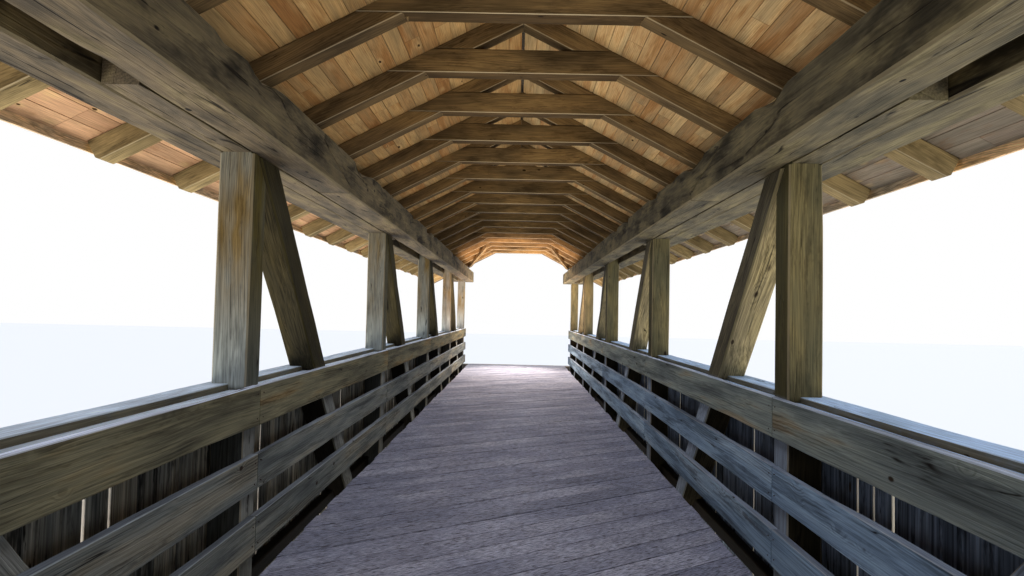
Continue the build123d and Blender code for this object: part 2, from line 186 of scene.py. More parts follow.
def timberFinish(name, *changes):
    s = dict(timberBasics)
    for layer in changes:
        s.update(layer)
    material, add = startMaterial(name)
    smooth = {"interpolation_type": "SMOOTHSTEP"}
    values = (("grain", "Vector"), ("tone", "Fac"), ("arris", "Fac"), ("stained", "Fac"), ("seam", "Fac"))
    grain, tone, arris, stained, seam = (add("Attribute", attribute_name=key).outputs[socket]
                                         for key, socket in values)
    place = add("SeparateXYZ", {0: add("TexCoord").outputs["Object"]})
    aside, height = place.outputs[0], place.outputs[2]

    # fibres wander slowly from side to side; the noise keeps to the middle quarter of its range
    bend = s["bendMm"] / 1000 * 4
    slow = add("VectorMath", {0: grain, 1: repeats(s["bendCellMm"])}, operation="MULTIPLY")
    wander = add("TexNoise", {"Vector": slow, "Scale": 1.0, "Detail": 0.0})
    centred = add("VectorMath", {0: wander.outputs["Color"], 1: (0.5, 0.5, 0.5)}, operation="SUBTRACT")
    sideways = add("VectorMath", {0: centred, 1: (0.0, bend, bend)}, operation="MULTIPLY")
    fibre = add("VectorMath", {0: grain, 1: sideways}, operation="ADD")

    # knots, with the growth rings swerving round them and often a pale halo
    cells = add("VectorMath", {0: fibre, 1: repeats(s["knotCellMm"])}, operation="MULTIPLY")
    cell = add("TexVoronoi", {"Vector": cells, "Scale": 1.0})
    chance = add("SeparateColor", {0: cell.outputs["Color"]})
    picked = add("Math", {0: chance, 1: s["knotShare"]}, operation="LESS_THAN")
    size = add("Math", {0: chance.outputs[1], 1: s["knotSize"] * 0.7, 2: s["knotSize"] * 0.5},
               operation="MULTIPLY_ADD")
    closeness = add("Math", {0: cell, 1: size}, operation="DIVIDE")
    around = []
    for outer, inner, most in ((1.15, 0.7, 1.0), (3.4, 0.6, 0.022), (3.6, 1.0, s["haloShare"])):
        near = add("MapRange", {0: closeness, 1: outer, 2: inner, 4: most}, **smooth)
        around.append(add("Math", {0: near, 1: picked}, operation="MULTIPLY"))
    knot, swerve, halo = around
    swerveWay = add("CombineXYZ", {1: swerve, 2: swerve})
    bentFibre = add("VectorMath", {0: fibre, 1: swerveWay}, operation="ADD")

    # fine raised streaks, broad stains, smaller ones drawn out along the fibres, and the field of the cracks
    streakSize = (s["streakRunMm"], s["streakMm"], s["streakMm"])
    crackSize = (2000, s["crackMm"], s["crackMm"])
    fields = []
    for start, sizes, detail, roughness in (
            (fibre, streakSize, 2.0, 0.65), (grain, s["blotchMm"], 3.0, 0.62),
            (grain, s["soilMm"], 4.0, 0.7), (fibre, crackSize, 0.0, 0.5)):
        drawn = add("VectorMath", {0: start, 1: repeats(sizes)}, operation="MULTIPLY")
        fields.append(add("TexNoise", {"Vector": drawn, "Scale": 1.0, "Detail": detail,
                                       "Roughness": roughness}))
    streak, blotch, soil, crackField = fields

    # growth rings, cut by the face into long lines and arches, that stand out in some places only;
    # the wave node draws them 314 mm apart at a scale of 1
    rings = add("TexWave", {"Vector": bentFibre, "Scale": 314 / s["ringMm"], "Distortion": 2.2,
                            "Detail": 2.0, "Detail Scale": 0.8},
                wave_type="RINGS", rings_direction="X")
    ringHere = add("MapRange", {0: soil, 1: 0.40, 2: 0.58, 3: s["ringDepth"] * 0.2,
                                4: s["ringDepth"]}, **smooth)
    ringLine = add("MapRange", {0: rings.outputs["Fac"], 1: 0.35, 2: 0.95, 4: ringHere}, **smooth)

    # drying cracks: thin dark lines along the fibres, here and there
    crackFrom = 0.62 - s["crackShare"] * 0.25
    crackAway = add("Math", {0: crackField, 1: 0.5}, operation="SUBTRACT")
    crackNear = add("Math", {0: crackAway}, operation="ABSOLUTE")
    crackLine = add("MapRange", {0: crackNear, 1: s["crackWidth"], 2: 0.0}, **smooth)
    crackHere = add("MapRange", {0: soil, 1: crackFrom, 2: crackFrom + 0.08}, **smooth)
    crack = add("Math", {0: crackLine, 1: crackHere}, operation="MULTIPLY")

    # colour, from the wood outwards: each layer is a share and the colour that it lays over the others
    warm = add("MapRange", {0: tone, 1: 0.45, 2: 0.9, 4: s["warmth"]}, **smooth)
    rust = add("MapRange", {0: blotch, 1: 0.48, 2: 0.36, 4: s["rustShare"]}, **smooth)
    grey = add("MapRange", {0: blotch, 1: 0.38, 2: 0.62, 3: max(0.0, s["greyShare"] - 0.35),
                            4: min(1.0, s["greyShare"] + 0.35)})
    if s["low"] is not None:
        lower = add("MapRange", {0: height, 1: s["high"], 2: s["low"], 4: 0.8}, **smooth)
        grey = add("Math", {0: grey, 1: lower}, operation="MAXIMUM")
    # faces that look one way get a colour of their own, which is painted shade on inward faces, painted light
    # on the tops of rails, and weathering elsewhere
    sideWeatherAndLight = add("Math", {0: stained, 1: s["sideWeatherAndLightShare"]}, operation="MULTIPLY")
    layers = [(ringLine, "dark"), (warm, "warm"), (rust, "rust"), (grey, "grey"), (sideWeatherAndLight, "sideWeatherAndLight")]
    if s["capHeight"] is not None:
        # behind the rails: grey towards the walkway, and a painted shade, nearly black, on the hidden faces
        under = add("MapRange", {0: height, 1: s["capHeight"], 2: s["capHeight"] - 0.05, 4: 0.9}, **smooth)
        front = add("Math", {0: under, 1: stained}, operation="MULTIPLY")
        hidden = add("Math", {0: under, 1: front}, operation="SUBTRACT")
        layers += [(front, "railGrey"), (hidden, "hidden")]
    if s["tailFrom"] is not None:
        outside = add("Math", {0: aside}, operation="ABSOLUTE")
        tail = add("MapRange", {0: outside, 1: s["tailFrom"], 2: s["tailFrom"] + s["tailRun"],
                                4: 0.75}, **smooth)
        layers.append((tail, "tail"))
    soilMost = add("Math", {0: stained, 1: s["soilShare"] - s["soilElsewhere"],
                            2: s["soilElsewhere"]}, operation="MULTIPLY_ADD")
    soiled = add("MapRange", {0: soil, 1: s["soilFrom"], 2: s["soilTo"], 4: soilMost}, **smooth)
    layers += [(soiled, "soil"), (halo, "halo")]

    # what lies so far is brighter or darker by timber, streak and blotch
    bright = add("Math", {0: tone, 1: -s["toneSpread"], 2: 1 + s["toneSpread"] / 2},
                 operation="MULTIPLY_ADD")
    for field, darkest, palest, depth, lift in ((streak, 0.3, 0.7, s["streakDepth"], 0.6),
                                                (blotch, 0.68, 0.32, s["blotchDepth"], 0.5)):
        factor = add("MapRange", {0: field, 1: darkest, 2: palest, 3: 1 - depth, 4: 1 + depth * lift})
        bright = add("Math", {0: bright, 1: factor}, operation="MULTIPLY")
    # pale edges: wear, and a painted highlight
    wearAndHighlight = add("Math", {0: arris, 1: s["arrisShare"]}, operation="MULTIPLY")
    layers += [(bright, None), (knot, "knot"), (crack, "crack"), (wearAndHighlight, "arris"), (seam, "seam")]
    colour = hexColour(s["pale"])
    for share, key in layers:
        if key is None:
            colour = add("VectorMath", {0: colour, 3: share}, operation="SCALE").outputs[0]
        else:
            colour = add("Mix", {0: share, 6: colour, 7: hexColour(s[key])}, data_type="RGBA").outputs[2]

    # relief: fibres stand up and cracks sink
    relief = add("Math", {0: crackLine, 1: -0.8, 2: streak}, operation="MULTIPLY_ADD")
    bump = add("Bump", {"Strength": 0.8, "Distance": s["reliefMm"] / 1000, "Height": relief})
    surface = add("BsdfPrincipled", {"Base Color": colour, "Roughness": s["roughness"], "IOR": s["ior"],
                                     "Specular IOR Level": s["sheen"], "Normal": bump})
    add("OutputMaterial", {0: surface})
    return material


# heaps collect the points and faces of many timbers or boards before they become one piece
def newHeap():
    return {key: [] for key in ("points", "grain", "faces", "tone", "arris", "stained", "seam")}


def makePiece(name, heap, finish, node=None, sharpDegrees=24):
    mesh = bpy.data.meshes.new(name)
    mesh.from_pydata(heap["points"], [], heap["faces"])
    grain = mesh.attributes.new("grain", "FLOAT_VECTOR", "POINT")
    grain.data.foreach_set("vector", [value for point in heap["grain"] for value in point])
    for key in ("tone", "arris", "stained", "seam"):
        layer = mesh.attributes.new(key, "FLOAT", "FACE")
        layer.data.foreach_set("value", heap[key] or [0.0] * len(heap["faces"]))
    mesh.shade_smooth()
    mesh.set_sharp_from_angle(angle=math.radians(sharpDegrees))
    mesh.materials.append(finish)
    mesh.validate()
    piece = linkObject(name, mesh)
    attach(piece, "root")
    if node:
        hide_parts(node)


def grainShift(draw, aside, up):
    # where in its tree a timber was cut: any length along, and so far off the heart, in m
    return Vector((draw.uniform(0, 60), draw.uniform(-aside, aside), draw.uniform(-up, up)))


# timbers: the solids of a node, with worn arrises, a slightly uneven surface and a grain of their own
timberShape = {
    "arrisMm": 9,
    "stepM": 0.28,            # spacing of the cross cuts that let a face be uneven
    "lanes": 0,               # lengthwise cuts across each face
    "unevenMm": 3.0,
    "unevenScale": 2.6,       # per metre
    "waneMm": 6.0,            # rounded bark edge, here and there along an arris
    "waneLowMm": 6.0,         # the same on the lower arrises
    "waneScale": 1.1,         # per metre
    "jointMm": 2.5,           # bevel of the edges that don't run along the timber
    "pithM": 0.10,            # how far the heart of the tree lies off the timber's middle
    "cutStray": 0.25,         # how far a cross cut strays, in spacings
    "laneStray": 0.1,         # the same for the lengthwise cuts
    "waneFrom": 0.1,          # noise level at which the wane begins
    "cornerAngle": 0.3,       # radians: an edge that turns by more is a corner
    "alongFrom": 0.985,       # cosine of the angle up to which an edge runs along the timber
    "sideWeatherAndLightWay": "inward",   # the way that the faces of that colour look: inward, down or up
    "paleArris": "all",       # "down": the lower ones only, a painted highlight of light from below; "inward": the one at the next timber is a dark seam of painted shade
}


def solidsOf(node):
    # the node's mesh, and for each of its solids the corners
    whole = bmesh.new()
    whole.from_mesh(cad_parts[node].data)
    bmesh.ops.remove_doubles(whole, verts=whole.verts[:], dist=2e-5)
    bmesh.ops.dissolve_limit(whole, angle_limit=0.01, verts=whole.verts[:], edges=whole.edges[:])
    whole.verts.index_update()
    seen, solids = set(), []
    for start in whole.verts:
        if start.index in seen:
            continue
        seen.add(start.index)
        corners, waiting = [], [start]
        while waiting:
            vert = waiting.pop()
            corners.append(vert)
            for other in (link.other_vert(vert) for link in vert.link_edges):
                if other.index not in seen:
                    seen.add(other.index)
                    waiting.append(other)
        solids.append(corners)
    return whole, solids


def boxesOf(node):
    whole, solids = solidsOf(node)
    boxes = [[Vector([end(vert.co[axis] for vert in corners) for axis in range(3)]) for end in (min, max)]
             for corners in solids]
    whole.free()
    return boxes


def cutAt(shape, way, at):
    bmesh.ops.bisect_plane(shape, geom=shape.verts[:] + shape.edges[:] + shape.faces[:], dist=1e-5,
                           plane_co=way * at, plane_no=way)


def dressTimber(heap, shape, s, draw):
    longest = max(shape.edges, key=lambda link: link.calc_length())
    way = (longest.verts[1].co - longest.verts[0].co).normalized()
    if max(way, key=abs) < 0:
        way.negate()
    side = axisZ.cross(way)
    if side.length < 0.3:     # it stands nearly upright
        side = axisX.cross(way)
    side.normalize()
    rise = way.cross(side)
    middle = sum((vert.co for vert in shape.verts), Vector()) / len(shape.verts)

    # the arrises along the timber are worn round, and their faces marked for the pale edge colour, which is
    # wear and a painted highlight; the other corners get a small bevel
    for lengthwise, width in ((True, s["arrisMm"]), (False, s["jointMm"])):
        corners = []
        for link in shape.edges:
            if len(link.link_faces) == 2 and link.is_convex and link.calc_face_angle() > s["cornerAngle"]:
                run = (link.verts[1].co - link.verts[0].co).normalized()
                if (abs(run.dot(way)) > s["alongFrom"]) == lengthwise:
                    corners.append(link)
        wearAndHighlight = bmesh.ops.bevel(shape, geom=corners, offset=width / 1000, offset_type="OFFSET", segments=1,
                               profile=0.5, affect="EDGES", clamp_overlap=True, material=0)
        for face in wearAndHighlight["faces"] if lengthwise else []:
            face.material_index = 1

    along = [vert.co.dot(way) for vert in shape.verts]
    low, high = min(along), max(along)
    count = int((high - low) / s["stepM"])
    for number in range(1, count):
        stray = draw.uniform(-s["cutStray"], s["cutStray"])
        cutAt(shape, way, low + (high - low) * (number + stray) / count)
    for lane in range(s["lanes"]):
        for direction in (side, rise):
            across = [vert.co.dot(direction) for vert in shape.verts]
            share = (lane + 1 + draw.uniform(-s["laneStray"], s["laneStray"])) / (s["lanes"] + 1)
            cutAt(shape, direction, min(across) + (max(across) - min(across)) * share)
    shape.normal_update()

    # every point sinks a little, and the worn arrises more where the wane runs
    seed = Vector([draw.uniform(0, 90) for axis in range(3)])
    shift = grainShift(draw, s["pithM"], s["pithM"])
    first = len(heap["points"])
    shape.verts.index_update()
    for vert in shape.verts:
        sunk = (0.5 + 0.5 * noise.noise(vert.co * s["unevenScale"] + seed)) * s["unevenMm"] / 1000
        if any(face.material_index for face in vert.link_faces):
            rounding = noise.noise(vert.co * s["waneScale"] + seed * 2)
            most = s["waneMm"] if vert.normal.z > 0 else s["waneLowMm"]
            sunk += max(0.0, rounding - s["waneFrom"]) * most / 1000 * 2
        fromMiddle = vert.co - middle
        heap["points"].append(vert.co - vert.normal * sunk)
        heap["grain"].append(Vector([fromMiddle.dot(axis) for axis in (way, side, rise)]) + shift)
    tone = draw.random()
    for face in shape.faces:
        pale = float(face.material_index)
        inward = -face.normal.x * math.copysign(1, middle.x)
        # with "down" only the lower arrises stay pale, a painted highlight where light falls from below; with
        # "inward" the arris at the next timber becomes a dark seam of painted shade
        if s["paleArris"] == "down" and face.normal.z > 0:
            pale = 0.0
        seam = pale if s["paleArris"] == "inward" and inward < 0 and face.normal.z < 0 else 0.0
        # the mask of the faces that look one way, which carry painted shade, painted light and weathering by
        # finish
        stained = {"inward": inward, "down": -face.normal.z, "up": face.normal.z}[s["sideWeatherAndLightWay"]]
        heap["faces"].append([first + vert.index for vert in face.verts])
        heap["tone"].append(tone)
        heap["arris"].append(pale - seam)
        heap["seam"].append(seam)
        heap["stained"].append(max(0.0, stained))


def dressNode(name, node, finish, changes=None, seed=1):
    s = dict(timberShape, **(changes or {}))
    draw = random.Random(seed)
    heap = newHeap()
    whole, solids = solidsOf(node)
    for corners in solids:
        part = bmesh.new()
        copies = {vert: part.verts.new(vert.co) for vert in corners}
        for face in dict.fromkeys(face for vert in corners for face in vert.link_faces):
            part.faces.new([copies[vert] for vert in face.verts])
        part.verts.index_update()
        bmesh.ops.recalc_face_normals(part, faces=part.faces[:])
        dressTimber(heap, part, s, draw)
        part.free()
    whole.free()
    makePiece(name, heap, finish, node)


def bothSides(name, node, finish, changes=None, seed=1):
    # finish is one material for both sides, or one for the left and one for the right
    for number, side in enumerate(("left", "right")):
        own = finish[number] if isinstance(finish, tuple) else finish
        dressNode("%s.%s" % (name, side), "%s_%s" % (node, side), own, changes, seed + number * 50)


# boards: a flat outline given a thickness, with small chamfers, laid in a frame of their own
def insetOutline(outline, distance):
    turns = sum(a.cross(b) for a, b in zip(outline, outline[1:] + outline[:1]))
    distance = math.copysign(distance, turns)
    moved = []
    for before, here, after in zip(outline[-1:] + outline[:-1], outline, outline[1:] + outline[:1]):
        a = (here - before).normalized()
        b = (after - here).normalized()
        left = Vector((-a.y, a.x)) + Vector((-b.y, b.x))
        moved.append(here + left * (distance / max(0.3, 1 + a.dot(b))))
    return moved


def addBoard(heap, outline, low, high, chamfer, spot, draw, grainAlong=None, litEdge=False):
    # spot: the board's origin, the ways along and across it, and the way up from its lower face
    # litEdge: daylight falls on the board's near edge through an open joint
    origin, along, across, up = spot
    first = len(heap["points"])
    narrow = insetOutline(outline, chamfer)
    shift = grainShift(draw, 0.12, 0.10)
    fibre = grainAlong or Vector((1, 0))
    for ring, level in ((narrow, low), (outline, low + chamfer), (outline, high - chamfer), (narrow, high)):
        for point in ring:
            heap["points"].append(origin + along * point.x + across * point.y + up * level)
            sideways = fibre.x * point.y - fibre.y * point.x
            heap["grain"].append(Vector((point.dot(fibre), sideways, level)) + shift)
    count = len(outline)
    middle = sum(point.y for point in outline) / count
    for ring in range(3):
        for i in range(count):
            j = (i + 1) % count
            base = first + ring * count
            heap["faces"].append([base + i, base + j, base + count + j, base + count + i])
            heap["arris"].append(0.0 if ring == 1 else 1.0)
            lit = litEdge and (outline[i].y + outline[j].y) / 2 < middle - 0.02
            heap["seam"].append(1.0 if lit else 0.0)
    heap["faces"].append([first + i for i in reversed(range(count))])
    heap["faces"].append([first + 3 * count + i for i in range(count)])
    heap["tone"] += [draw.random()] * (3 * count + 2)
    heap["arris"] += [0.0, 0.0]
    heap["seam"] += [0.0, 0.0]


def boardOutline(start, end, low, high, step, unevenness, draw):
    count = max(2, int((end - start) / step) + 1)
    places = [start + (end - start) * i / (count - 1) for i in range(count)]
    lower = [Vector((x, low + draw.uniform(0, unevenness))) for x in places]
    upper = [Vector((x, high - draw.uniform(0, unevenness))) for x in reversed(places)]
    return lower + upper


def clipOutline(outline, low, high):
    # keeps what lies between two values of y
    for limit, sign in ((low, 1), (high, -1)):
        kept = []
        for here, after in zip(outline, outline[1:] + outline[:1]):
            inHere, inAfter = (here.y - limit) * sign >= 0, (after.y - limit) * sign >= 0
            if inHere:
                kept.append(here)
            if inHere != inAfter:
                share = (limit - here.y) / (after.y - here.y)
                kept.append(here + (after - here) * share)
        outline = kept
    return outline


def jointWidth(s, draw):
    # most joints are tight, and some stand open, m
    return draw.uniform(*(s["openMm"] if draw.random() < s["openShare"] else s["jointMm"])) / 1000


# Spruce posts, sawn square, decades in the open air: olive brown under the roof, bleached grey lower down
# on the weather side, with long straight grain and the odd arch and knot.
# Their inward faces are darker, by painted shade and by less weathering; below the cap, the faces away from
# the walkway are a painted shade, nearly black.
postBasics = {"capHeight": capTop, "crackMm": 90, "sideWeatherAndLightShare": 0.75}
weatherPost = timberFinish("weatheredSawnSpruceGrey", postBasics, {
    "pale": "695734", "dark": "4a3b1f", "grey": "b1bcb9", "sideWeatherAndLight": "3a3604",
    "greyShare": 0.0, "low": deckTop + 0.9, "high": deckTop + 1.9, "bendMm": 14, "streakDepth": 0.45,
    "knotShare": 0.04})
leePost = timberFinish("weatheredSawnSpruceOlive", postBasics, {
    "pale": "786d49", "dark": "554b31", "grey": "676751", "sideWeatherAndLight": "2f2c0f", "railGrey": "8f9aa6",
    "greyShare": 0.2, "bendMm": 12, "streakDepth": 0.42, "knotShare": 0.06})
# The braces are the same spruce, hewn with an axe and left rounder at the edges: nearly black with shade
# on the weather side, tan on the lee side, where the day lights them from below.
# Their inward faces are darker as well: painted shade.
weatherBrace = timberFinish("weatheredHewnSpruceDark", {
    "capHeight": capTop, "pale": "3e3723", "dark": "292512", "grey": "3c382b",
    "sideWeatherAndLight": "363116", "arris": "484222", "greyShare": 0.3, "crackMm": 80, "knotShare": 0.08,
    "sideWeatherAndLightShare": 0.5})
leeBrace = timberFinish("weatheredHewnSprucePale", {
    "capHeight": capTop, "railGrey": "8f9aa6", "pale": "968862", "dark": "675a3c", "grey": "887e65",
    "sideWeatherAndLight": "39362a", "arris": "978d68", "greyShare": 0.2, "ringMm": 15, "crackMm": 80,
    "knotSize": 0.2, "sideWeatherAndLightShare": 0.85})
# Spruce beams, hewn with an axe: dark, with deep drying cracks, sooty patches and pale arrises, worn and with
# a painted highlight. Their inward faces are darker, by painted shade and by less weathering.
chordBasics = {
    "knot": "0f0c07", "arris": "877c62", "soil": "17150f", "rust": "5a5a40", "sideWeatherAndLight": "463e26",
    "greyShare": 0.35, "ringMm": 14, "ringDepth": 0.5, "crackMm": 90, "crackWidth": 0.02, "crackShare": 0.6,
    "knotShare": 0.3, "knotSize": 0.11, "reliefMm": 4, "arrisShare": 0.45, "toneSpread": 0.15,
    "blotchDepth": 0.55, "blotchMm": (555.6, 125, 125), "soilShare": 0.85, "soilElsewhere": 0.3,
    "soilFrom": 0.44, "soilMm": (625, 166.7, 166.7), "streakDepth": 0.36, "rustShare": 0.2,
    "sideWeatherAndLightShare": 0.6, "bendMm": 18}
weatherChord = timberFinish("hewnWeatheredSpruceOlive", chordBasics, {
    "pale": "675a46", "dark": "423826", "grey": "635c50", "sideWeatherAndLight": "564d31", "soilFrom": 0.46})
leeChord = timberFinish("hewnWeatheredSpruceDark", chordBasics, {
    "pale": "695f47", "dark": "433b27", "grey": "656152"})
# Planed spruce under the roof: still brown, matt, with dark knots and clean pale arrises; on the rafters and
# collars only the lower arrises are pale, a painted highlight of the light from below.
frameBasics = {
    "knot": "1f160b", "arris": "c4b493", "soil": "2b1f10", "greyShare": 0.2, "ringMm": 10, "crackShare": 0.2,
    "knotShare": 0.45, "knotSize": 0.10, "arrisShare": 0.38, "reliefMm": 1.2,
    "blotchDepth": 0.5, "soilShare": 0.4, "soilElsewhere": 0.4, "streakDepth": 0.4}
rafterSpruce = timberFinish("planedBrownSpruce", frameBasics, {
    "pale": "7d6642", "dark": "5e492c", "grey": "6f5d43", "sideWeatherAndLight": "5d4d34", "sideWeatherAndLightShare": 0.75,
    "tailFrom": 1.95})
collarSpruce = timberFinish("planedDarkSpruce", frameBasics, {
    "pale": "78623f", "dark": "5a462a", "grey": "6a5a40", "sideWeatherAndLight": "3f301d", "sideWeatherAndLightShare": 0.8,
    "arrisShare": 0.6})
# Sawn pine boards under the shingles: warm tan, each board its own tone, many small dark knots. Past the
# beams, where the weather reaches them, they are bleached on one side and grey on the other.
boardBasics = {
    "knot": "3a2511", "warm": "9b6738", "halo": "ccae7a", "arris": "4a3018", "soil": "8a5f36",
    "greyShare": 0.3, "ringMm": 12, "ringDepth": 0.5, "crackShare": 0.0, "knotShare": 0.26, "knotSize": 0.12,
    "knotCellMm": (250, 100, 100), "warmth": 0.6, "haloShare": 0.5, "arrisShare": 0.5,
    "reliefMm": 0.6, "blotchDepth": 0.3, "soilElsewhere": 0.35, "streakDepth": 0.34, "streakMm": 4,
    "bendMm": 10, "rustShare": 0.6, "blotchMm": (1250, 142.9, 142.9), "tailFrom": 1.95}
weatherBoard = timberFinish("warmSawnPineBoards", boardBasics, {
    "pale": "be9964", "dark": "9f7642", "grey": "a79168", "tail": "cfa481"})
leeBoard = timberFinish("warmSawnPineBoardsGreyEaves", boardBasics, {
    "pale": "c5a472", "dark": "a57e4c", "grey": "ad9c77", "tail": "716e6a"})
# The strip under the shingles' edge is sawn pine too, painted pale: a painted light that keeps its shaded
# faces bright.
eaveStripPaintedLight = timberFinish("paintedLightEaveStrip", {
    "pale": "e5bf8f", "dark": "b68f5d", "grey": "c6bca8", "arris": "f5d9b0"})
# Larch planks, sawn and worn by feet: grey with a violet cast, dirt pressed into the fibres, a faint polish.
deckLarch = timberFinish("wornGreyLarchPlanks", {
    "pale": "a9acba", "dark": "828795", "grey": "989fb8", "crack": "2b2a30", "arris": "44444c",
    "knot": "4f4e5a", "soil": "33343c", "greyShare": 0.5, "ringMm": 12, "crackMm": 45,
    "crackShare": 0.8, "crackWidth": 0.014, "knotShare": 0.05, "toneSpread": 0.14, "arrisShare": 0.4,
    "reliefMm": 3.0, "roughness": 0.65, "sheen": 0.4, "streakMm": 5, "streakRunMm": 50, "streakDepth": 0.8,
    "blotchMm": (909.1, 666.7, 666.7), "soilElsewhere": 0.85, "soilFrom": 0.53,
    "soilTo": 0.65, "soilMm": (62.5, 14.29, 14.29), "bendMm": 12})
# Sawn spruce boards along the walkway: grey-brown, open grain with dark arches; their tops pale with painted
# light from above.
railBasics = {
    "rust": "7a5a2c", "ringMm": 16, "ringDepth": 0.75, "crackMm": 55, "crackShare": 0.4, "knotShare": 0.14,
    "knotSize": 0.13, "greyShare": 0.35, "arrisShare": 0.3, "toneSpread": 0.25, "sideWeatherAndLightShare": 0.95,
    "soilShare": 0.1, "soilElsewhere": 0.45, "soilFrom": 0.45, "soilTo": 0.66, "soilMm": (1111, 83.33, 83.33),
    "blotchDepth": 0.6, "blotchMm": (1667, 142.9, 142.9), "streakDepth": 0.4, "streakMm": 5,
    "streakRunMm": 625, "bendMm": 9, "rustShare": 0.5}
weatherRail = timberFinish("weatheredRailBoardsOlive", railBasics, {
    "pale": "867f5f", "dark": "4c442a", "grey": "7e7b63", "arris": "93917b", "sideWeatherAndLight": "d8e5f6"})
# The right rails are bluer copies: a painted cast of the sky light that reaches them from the left.
rightRailSkyLit = timberFinish("weatheredRailBoardsGreen", railBasics, {
    "pale": "919787", "dark": "555744", "grey": "8d9793", "arris": "a7b1b5", "sideWeatherAndLight": "d8e5f6",
    "soilElsewhere": 0.3})
weatherLowRail = timberFinish("weatheredRailBoardsGrey", railBasics, {
    "pale": "888777", "dark": "4f4e45", "grey": "88918e", "arris": "bac5c1", "sideWeatherAndLight": "80888e",
    "rustShare": 0.12})
# A bluer copy for the right side: painted sky light.
rightLowRailSkyLit = timberFinish("weatheredRailBoardsBlue", railBasics, {
    "pale": "8ca3b2", "dark": "525f6b", "grey": "8ea8c1", "arris": "c2c5bc", "sideWeatherAndLight": "8e9aa7",
    "rustShare": 0.12})
# The cap is a sawn board that lies in rain and sun: bleached silver grey with a blue cast, brown at its
# inner edge, where it is sheltered.
capBasics = {
    "arris": "ccdee7", "sideWeatherAndLight": "594f30", "soil": "6d7f8d", "greyShare": 0.5, "ringMm": 12, "crackMm": 50,
    "toneSpread": 0.12, "knotShare": 0.05, "sideWeatherAndLightShare": 0.95, "soilShare": 0.3, "streakDepth": 0.35,
    "blotchDepth": 0.3, "bendMm": 8}
weatherCap = timberFinish("silverWeatheredBoard", capBasics, {
    "pale": "dbeefb", "dark": "afc1cf", "grey": "def1ff"})
leeCap = timberFinish("silverBlueWeatheredBoard", capBasics, {
    "pale": "c6e2ff", "dark": "98b2dc", "grey": "c6e4ff"})
# Upright sawn boards outside: near black on the shaded inner side, with a blue-grey bloom in places, and
# silver grey on the outer side. Their edges at open joints are lit by the day.
wallBasics = {
    "arris": "5b5e63", "soil": "0d0c0a", "seam": "f2e8da", "tail": "8b877c", "tailFrom": 1.718,
    "tailRun": 0.006, "ringMm": 16, "ringDepth": 0.35, "crackMm": 60, "streakMm": 20, "streakDepth": 0.75,
    "streakRunMm": 1000, "toneSpread": 0.8, "arrisShare": 0.2, "knotShare": 0.06, "soilElsewhere": 0.8,
    "blotchDepth": 0.7, "blotchMm": (1250, 166.7, 166.7), "greyShare": 0.2, "bendMm": 8}
weatherWall = timberFinish("darkWeatheredBoardsOlive", wallBasics, {
    "pale": "877f6d", "dark": "3a362d", "grey": "a4a8a2"})
leeWall = timberFinish("darkWeatheredBoardsBlue", wallBasics, {
    "pale": "4e5359", "dark": "222223", "grey": "a0b0c8", "seam": "ece2cc", "low": deckTop + 1.0,
    "high": deckTop + 0.45})
# Timbers below the deck: rough sawn, dark with damp.
floorSpruce = timberFinish("roughDampTimber", {
    "pale": "5e513e", "dark": "413626", "grey": "57534c", "greyShare": 0.3, "crackShare": 0.3})
# The lower chords and the girts behind the rails: rough sawn, nearly black with dust and damp.
dampSpruce = timberFinish("sootyDampTimber", {
    "pale": "1c1711", "dark": "0f0c08", "grey": "1b1916", "arris": "252019", "greyShare": 0.3,
    "crackShare": 0.2})
# Split larch shingles: each its own grey or brown, dull and furry with weather.
shingleLarch = timberFinish("splitLarchShingles", {
    "pale": "7e776b", "dark": "5c544a", "grey": "84827c", "greyShare": 0.5, "ringMm": 9, "toneSpread": 0.6,
    "knotShare": 0.02, "crackShare": 0.2, "arrisShare": 0.0})
# Sawn spruce trim round the roof: brown under a thin grey skin.
trimSpruce = timberFinish("weatheredTrimBoards", {
    "pale": "8a7456", "dark": "634f37", "grey": "78746c", "greyShare": 0.35, "arris": "a8977a"})
print("finishes made")


# trusses
bothSides("post", "posts", (weatherPost, leePost),
          {"arrisMm": 10, "unevenMm": 4, "waneMm": 10, "lanes": 1}, seed=11)
bothSides("brace", "braces", (weatherBrace, leeBrace),
          {"arrisMm": 12, "unevenMm": 6, "waneMm": 16, "lanes": 1}, seed=13)
bothSides("innerBeam", "top_chord_inner", (weatherChord, leeChord),
          {"arrisMm": 12, "unevenMm": 6, "waneMm": 60, "waneScale": 2.6, "lanes": 2,
           "stepM": 0.12, "unevenScale": 4.5, "paleArris": "inward"}, seed=17)
bothSides("outerBeam", "top_chord_outer", (weatherChord, leeChord),
          {"arrisMm": 12, "unevenMm": 6, "waneMm": 40, "waneLowMm": 8, "lanes": 1, "stepM": 0.18,
           "unevenScale": 3.0}, seed=19)
bothSides("chordBlock", "chord_blocks", (weatherChord, leeChord),
          {"arrisMm": 3, "waneMm": 2}, seed=23)
bothSides("bottomChord", "bottom_chord", dampSpruce, {"stepM": 0.5}, seed=29)
print("trusses made")

# floor timbers and supports
dressNode("floorBeams", "floor_beams", floorSpruce, {"stepM": 0.4}, seed=31)
dressNode("stringers", "stringers", dampSpruce, {"stepM": 0.6}, seed=37)
dressNode("bearingSleepers", "bearing_sleepers", floorSpruce, {"stepM": 0.3}, seed=41)
print("floor timbers made")

